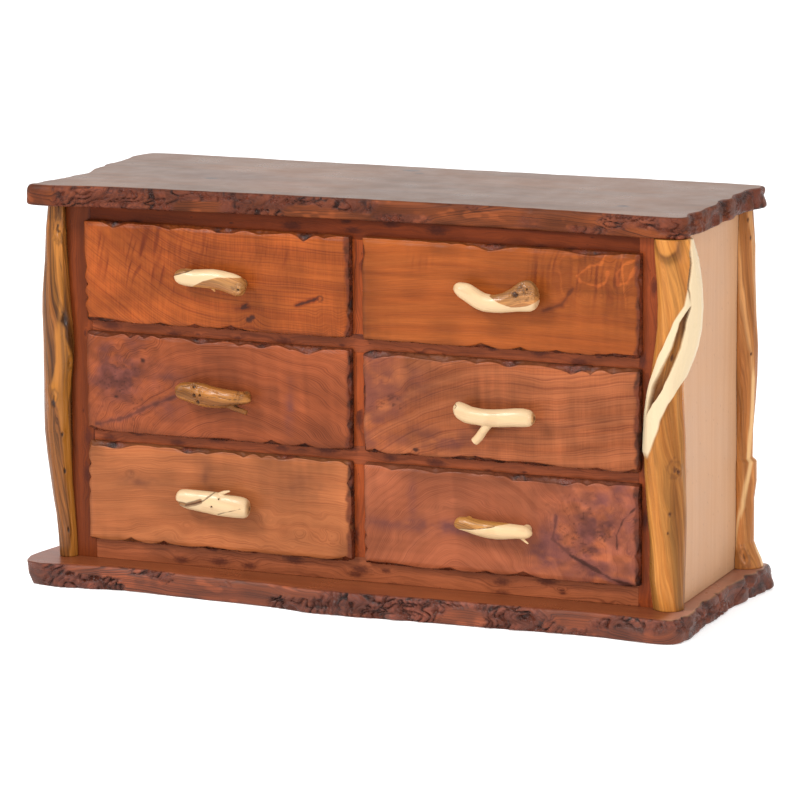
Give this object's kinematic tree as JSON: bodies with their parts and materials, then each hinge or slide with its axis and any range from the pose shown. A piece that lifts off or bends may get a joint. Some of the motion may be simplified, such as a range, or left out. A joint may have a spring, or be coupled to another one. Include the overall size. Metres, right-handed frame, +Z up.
{
  "type": "dresser with drawers",
  "caption": "Low, wide rustic dresser with live-edge slab top and base, log corner posts, and two columns of sliding drawers with branch pulls.",
  "frame": {"origin": "middle of the underside of the base slab, on the floor", "axes": "+X along the dresser's width to its right as seen from the front, +Y to the back, +Z up"},
  "size_m": [1.5512, 0.607, 0.889],
  "materials": {
    "slab_wood": "glossy varnish over reddish-brown heartwood, rough dark bark-like edges",
    "frame_wood": "satin varnish, reddish brown with small dark knots",
    "panel_wood": "satin varnish, pale pinkish tan with fine vertical grain",
    "front_wood": "glossy varnish, orange-red figured grain with purple patches",
    "post_wood": "glossy varnish, peeled log with cream sapwood ribbons over amber heartwood",
    "pull_wood": "glossy varnish, peeled branch, cream with tan and brown streaks",
    "box_wood": "clear satin sealer, pale plain boards"
  },
  "bodies": {
    "case": {"base_slab": "slab_wood", "top_slab": "slab_wood", "side_panel_left": "panel_wood", "side_panel_right": "panel_wood", "back_panel": "panel_wood", "post_front_left": "post_wood", "post_front_right": "post_wood", "post_back_left": "post_wood", "post_back_right": "post_wood", "stile_left": "frame_wood", "stile_right": "frame_wood", "rail_top": "frame_wood", "rail_upper_mid": "frame_wood", "rail_lower_mid": "frame_wood", "rail_bottom": "frame_wood", "mullion_top": "frame_wood", "mullion_middle": "frame_wood", "mullion_bottom": "frame_wood", "runner_left_bottom": "frame_wood", "runner_left_middle": "frame_wood", "runner_left_top": "frame_wood", "runner_right_bottom": "frame_wood", "runner_right_middle": "frame_wood", "runner_right_top": "frame_wood"},
    "drawer_left_bottom": {"front_left_bottom": "front_wood", "side_left_left_bottom": "box_wood", "side_right_left_bottom": "box_wood", "back_left_bottom": "box_wood", "bottom_left_bottom": "box_wood", "pull_left_bottom": "pull_wood"},
    "drawer_left_middle": {"front_left_middle": "front_wood", "side_left_left_middle": "box_wood", "side_right_left_middle": "box_wood", "back_left_middle": "box_wood", "bottom_left_middle": "box_wood", "pull_left_middle": "pull_wood"},
    "drawer_left_top": {"front_left_top": "front_wood", "side_left_left_top": "box_wood", "side_right_left_top": "box_wood", "back_left_top": "box_wood", "bottom_left_top": "box_wood", "pull_left_top": "pull_wood"},
    "drawer_right_bottom": {"front_right_bottom": "front_wood", "side_left_right_bottom": "box_wood", "side_right_right_bottom": "box_wood", "back_right_bottom": "box_wood", "bottom_right_bottom": "box_wood", "pull_right_bottom": "pull_wood"},
    "drawer_right_middle": {"front_right_middle": "front_wood", "side_left_right_middle": "box_wood", "side_right_right_middle": "box_wood", "back_right_middle": "box_wood", "bottom_right_middle": "box_wood", "pull_right_middle": "pull_wood"},
    "drawer_right_top": {"front_right_top": "front_wood", "side_left_right_top": "box_wood", "side_right_right_top": "box_wood", "back_right_top": "box_wood", "bottom_right_top": "box_wood", "pull_right_top": "pull_wood"}
  },
  "joints": [
    {"name": "drawer_left_bottom_slide", "type": "slide", "parent": "case", "child": "drawer_left_bottom", "axis": [0, -1, 0], "range_m": [0, 0.3]},
    {"name": "drawer_left_middle_slide", "type": "slide", "parent": "case", "child": "drawer_left_middle", "axis": [0, -1, 0], "range_m": [0, 0.3]},
    {"name": "drawer_left_top_slide", "type": "slide", "parent": "case", "child": "drawer_left_top", "axis": [0, -1, 0], "range_m": [0, 0.3]},
    {"name": "drawer_right_bottom_slide", "type": "slide", "parent": "case", "child": "drawer_right_bottom", "axis": [0, -1, 0], "range_m": [0, 0.3]},
    {"name": "drawer_right_middle_slide", "type": "slide", "parent": "case", "child": "drawer_right_middle", "axis": [0, -1, 0], "range_m": [0, 0.3]},
    {"name": "drawer_right_top_slide", "type": "slide", "parent": "case", "child": "drawer_right_top", "axis": [0, -1, 0], "range_m": [0, 0.3]}
  ]
}
